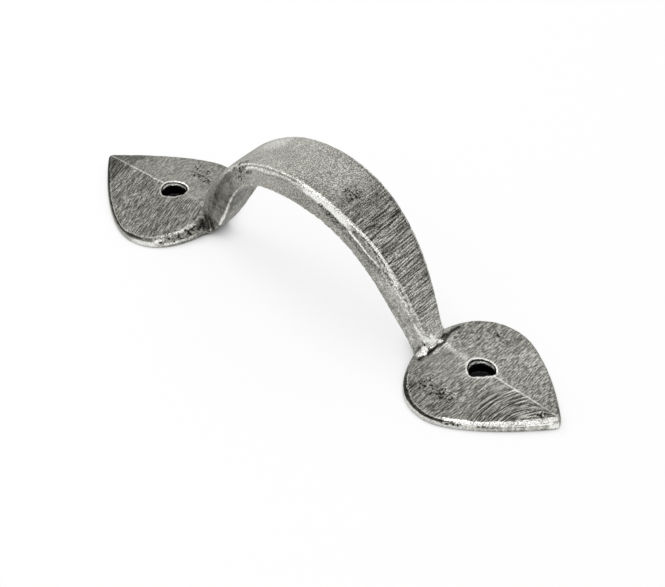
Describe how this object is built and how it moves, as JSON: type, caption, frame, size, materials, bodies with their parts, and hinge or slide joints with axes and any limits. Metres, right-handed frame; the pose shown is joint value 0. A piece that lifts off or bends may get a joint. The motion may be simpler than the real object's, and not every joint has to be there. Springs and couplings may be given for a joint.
{
  "type": "d handle",
  "caption": "One-piece arched pull handle with a pointed, ridged spade plate and a screw hole at each end, for surface fixing to a door or drawer.",
  "frame": {"origin": "midway between the two plates, on the plane of their flat backs", "axes": "+X along the handle from plate to plate, +Y across it, +Z away from the door, towards the crown of the grip"},
  "size_m": [0.118, 0.0298, 0.0312],
  "materials": {
    "cast_metal": "hand-ground and waxed, half bright, with dark casting pits and edges worn bright"
  },
  "bodies": {
    "root": {"handle_casting": "cast_metal"}
  },
  "joints": []
}
